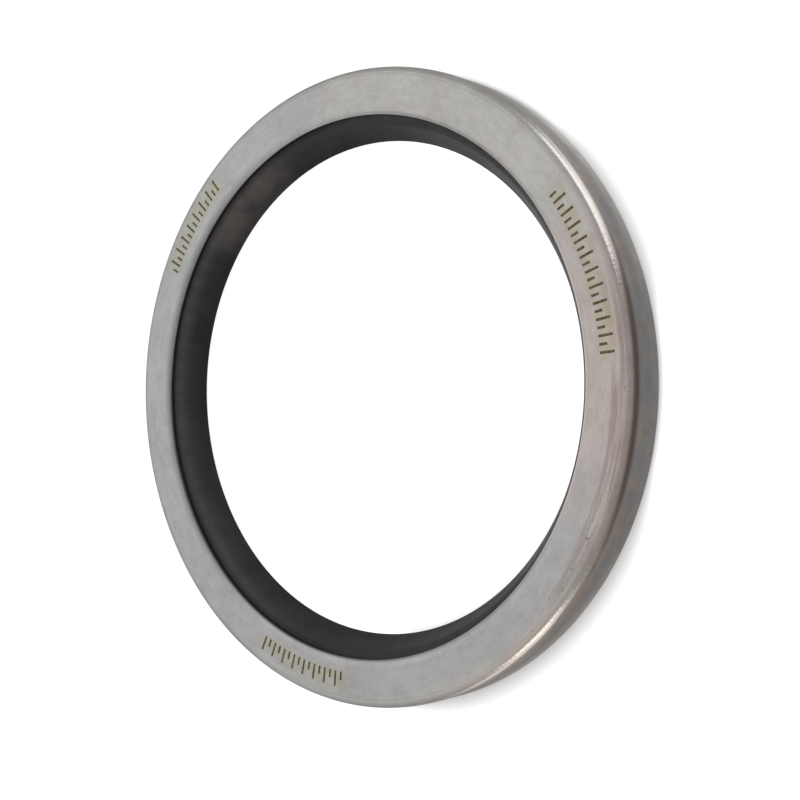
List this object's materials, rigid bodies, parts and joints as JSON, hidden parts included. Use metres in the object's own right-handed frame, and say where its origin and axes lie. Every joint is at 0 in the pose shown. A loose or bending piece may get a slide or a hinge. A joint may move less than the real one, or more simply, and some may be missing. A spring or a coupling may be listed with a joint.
{
  "type": "rotary shaft seal",
  "caption": "Flat ring-shaped shaft seal: a steel case with a rounded outer edge holds a black plastic lip bent back into a cone, a rubber gasket and a steel clamping ring.",
  "frame": {"origin": "centre of the back face, on the shaft's axis, where the seal lies on a surface", "axes": "+Z along the shaft's axis, out of the front face; X and Y are alike, because the seal is round"},
  "size_m": [0.11, 0.11, 0.008],
  "materials": {
    "satin_steel": "fine ground satin steel, slightly warm, with a brighter rounded edge and light handling marks",
    "black_rubber": "matt black rubber",
    "black_plastic": "smooth charcoal filled fluoropolymer with a soft sheen",
    "inner_steel": "plain pressed steel, duller than the outside"
  },
  "bodies": {
    "root": {"outer_case": "satin_steel", "gasket": "black_rubber", "sealing_lip": "black_plastic", "inner_case": "inner_steel"}
  },
  "joints": []
}
